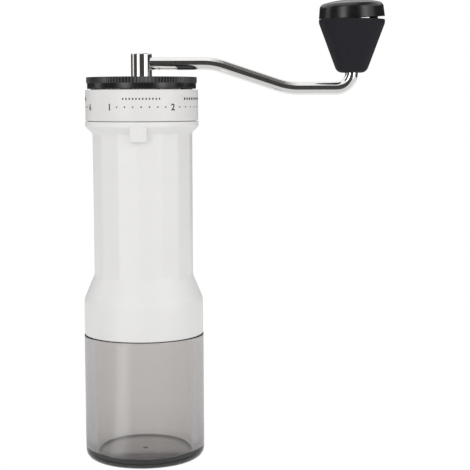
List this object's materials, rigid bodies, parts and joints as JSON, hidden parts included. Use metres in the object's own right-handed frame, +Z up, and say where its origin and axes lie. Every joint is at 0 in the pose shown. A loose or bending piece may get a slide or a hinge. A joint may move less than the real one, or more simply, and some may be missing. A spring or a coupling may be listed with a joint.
{
  "type": "manual coffee grinder",
  "caption": "Hand-cranked coffee grinder: faceted white body, numbered grind dial, knurled black lid, bent chrome crank with a cone knob, and a smoked clear catch cup.",
  "frame": {"origin": "middle of the cup's flat underside, on the shaft's axis", "axes": "+Z up along the shaft, +X along the crank arm as drawn, -Y towards the index tab under the dial"},
  "size_m": [0.1453, 0.058, 0.2216],
  "materials": {
    "white_body": "satin moulded plastic",
    "white_dial": "satin moulded plastic with plain numbers",
    "black_lid": "satin black plastic with a knurled rim",
    "black_grip": "matt black plastic",
    "black_cap": "satin black plastic",
    "chrome": "polished",
    "smoked_cup": "clear smoked plastic, polished",
    "burr_steel": "ground steel",
    "steel": "turned steel",
    "spring_steel": "drawn wire",
    "cast_alloy": "die cast",
    "bronze": "sintered bronze",
    "black_bush": "turned black bearing plastic",
    "seal_rubber": "moulded rubber"
  },
  "bodies": {
    "grinder_body": {"housing": "white_body", "outer_burr": "burr_steel", "burr_retainer": "steel", "burr_screws": "steel", "bearing_bridge": "cast_alloy", "bridge_screws": "steel", "lower_bush": "bronze", "dial_clip": "steel", "detent_spring": "spring_steel"},
    "click_ball": {"detent_ball": "steel"},
    "dial": {"dial_ring": "white_dial"},
    "carrier": {"bearing_carrier": "cast_alloy", "bearing_outer_race": "steel", "bearing_balls": "steel", "bearing_circlip": "steel"},
    "shaft": {"drive_shaft": "steel", "bearing_inner_race": "steel", "shaft_clips": "steel", "inner_burr": "burr_steel", "drive_pin": "steel", "burr_washer": "steel", "burr_nut": "steel", "burr_spring": "spring_steel"},
    "lid_assembly": {"lid": "black_lid", "lid_bush": "black_bush", "lid_seal": "seal_rubber"},
    "crank": {"crank_hub": "chrome", "crank_arm": "chrome", "hub_clip": "steel", "spindle_clips": "steel"},
    "knob": {"knob_grip": "black_grip", "knob_bush": "bronze", "knob_cap": "black_cap"},
    "cup": {"catch_cup": "smoked_cup", "cup_seal": "seal_rubber"}
  },
  "joints": [
    {"name": "lid_lift", "type": "slide", "parent": "grinder_body", "child": "lid_assembly", "axis": [0, 0, 1], "range_m": [0, 0.05]},
    {"name": "crank_spin", "type": "hinge", "parent": "lid_assembly", "child": "crank", "pos_m": [0, 0, 0.1914], "axis": [0, 0, 1], "continuous": true},
    {"name": "knob_spin", "type": "hinge", "parent": "crank", "child": "knob", "pos_m": [0.1006, 0, 0.1985], "axis": [0, 0, 1], "continuous": true},
    {"name": "dial_turn", "type": "hinge", "parent": "grinder_body", "child": "dial", "pos_m": [0, 0, 0.1716], "axis": [0, 0, 1], "range_deg": [-297.2, 33.2]},
    {"name": "carrier_travel", "type": "slide", "parent": "grinder_body", "child": "carrier", "axis": [0, 0, 1], "range_m": [-0.00124, 0.00014], "deforming": ["burr_spring"]},
    {"name": "shaft_spin", "type": "hinge", "parent": "carrier", "child": "shaft", "pos_m": [0, 0, 0.1695], "axis": [0, 0, 1], "continuous": true},
    {"name": "click_dip", "type": "slide", "parent": "grinder_body", "child": "click_ball", "axis": [0, 0, 1], "range_m": [0, 0.00035], "deforming": ["detent_spring"]},
    {"name": "cup_pull", "type": "slide", "parent": "grinder_body", "child": "cup", "axis": [0, 0, -1], "range_m": [0, 0.03]}
  ],
  "couplings": [
    {"joint": "dial_turn", "follows": "carrier_travel", "rad_per_m": 4188.8},
    {"joint": "shaft_spin", "follows": "crank_spin", "ratio": 1}
  ]
}
